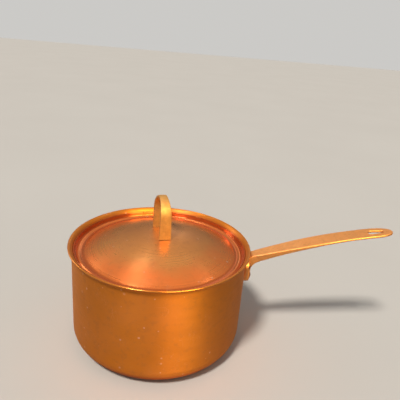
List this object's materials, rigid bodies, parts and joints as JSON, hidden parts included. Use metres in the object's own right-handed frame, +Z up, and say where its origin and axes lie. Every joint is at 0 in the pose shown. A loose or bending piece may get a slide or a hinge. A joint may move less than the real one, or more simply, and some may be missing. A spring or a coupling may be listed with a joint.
{
  "type": "saucepan",
  "caption": "Straight-sided copper saucepan with a flared rim, an inset domed lid with a strap handle, and a long riveted brass handle with a hang hole.",
  "frame": {"origin": "centre of the pan's flat base, on the axis of the pan", "axes": "+Z up along the pan's axis, +X along the long handle away from the pan, +Y to the left of the handle seen from its tip towards the pan with Z up"},
  "size_m": [0.378, 0.211, 0.1806],
  "materials": {
    "pan_copper": "satin polished copper with fine hoop scratches and a few dried water spots",
    "lid_copper": "satin spun copper, slightly duller than the pan",
    "rivet_copper": "hammered copper",
    "handle_brass": "cast brass, polished, with soft bright edges",
    "strap_brass": "polished yellow brass with handling marks",
    "tin_lining": "wiped tin, soft grey"
  },
  "bodies": {
    "pan": {"pan_body": "pan_copper", "pan_lining": "tin_lining", "pan_handle": "handle_brass", "handle_rivet_1": "rivet_copper", "handle_rivet_2": "rivet_copper", "handle_rivet_3": "rivet_copper"},
    "lid": {"lid_shell": "lid_copper", "lid_lining": "tin_lining", "lid_handle": "strap_brass", "lid_washer_1": "strap_brass", "lid_washer_2": "strap_brass"}
  },
  "joints": [
    {"name": "lid_lift", "type": "slide", "parent": "pan", "child": "lid", "axis": [0, 0, 1], "range_m": [0, 0.14]}
  ]
}
